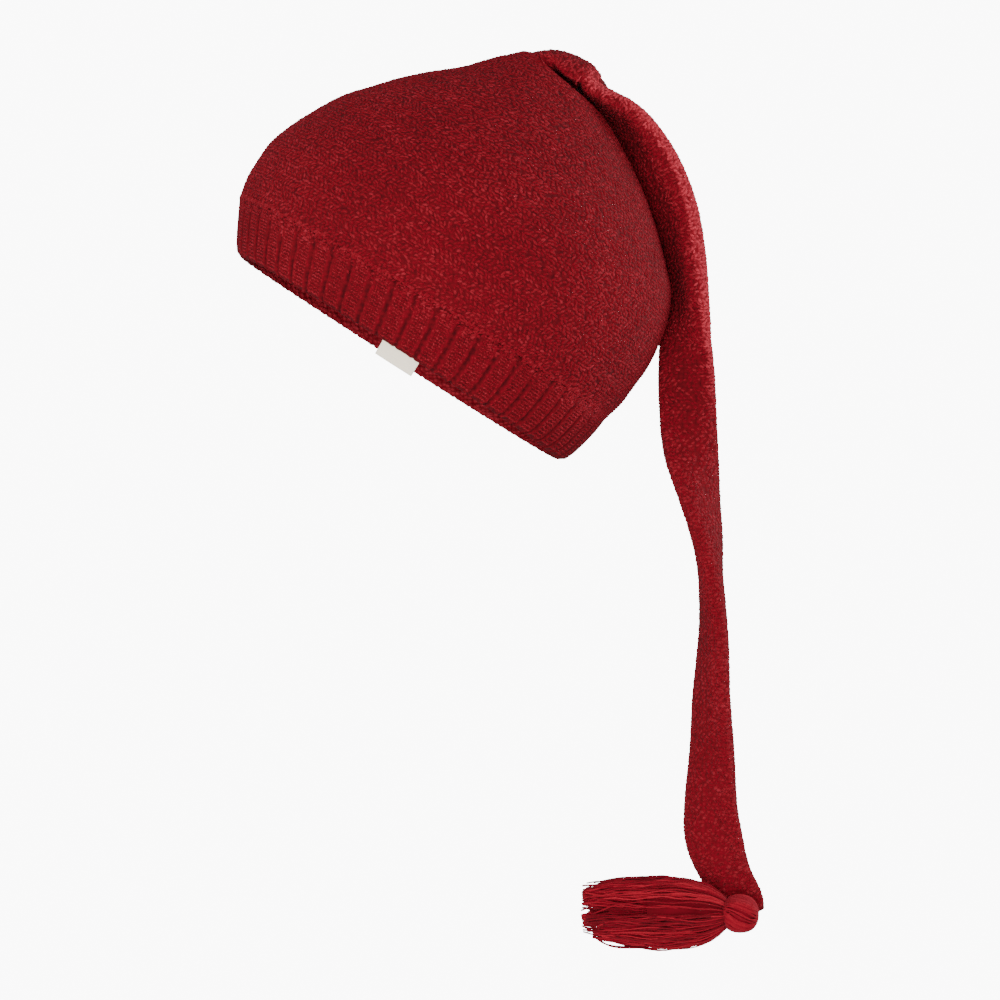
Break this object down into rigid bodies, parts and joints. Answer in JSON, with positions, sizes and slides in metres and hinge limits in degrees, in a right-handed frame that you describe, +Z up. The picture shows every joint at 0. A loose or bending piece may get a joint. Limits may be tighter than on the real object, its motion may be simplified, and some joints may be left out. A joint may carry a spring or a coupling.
{
  "type": "knitted long-tail santa hat",
  "caption": "Knitted santa hat in its worn form, with a ribbed band, a hollow domed crown and a long folded tail ending in a yarn tassel.",
  "frame": {"origin": "middle of the head opening, in the plane of the band's edge", "axes": "+Z up as worn, +X to the back of the hat where the tail hangs, +Y to the wearer's right"},
  "size_m": [0.2665, 0.1824, 0.4543],
  "materials": {
    "knit": "fuzzy dark red wool knit",
    "tassel_yarn": "soft red yarn",
    "label_tape": "matt cream woven tape"
  },
  "bodies": {
    "root": {"ribbed_band": "knit", "crown": "knit", "tail": "knit", "tassel": "tassel_yarn", "label": "label_tape"}
  },
  "joints": []
}
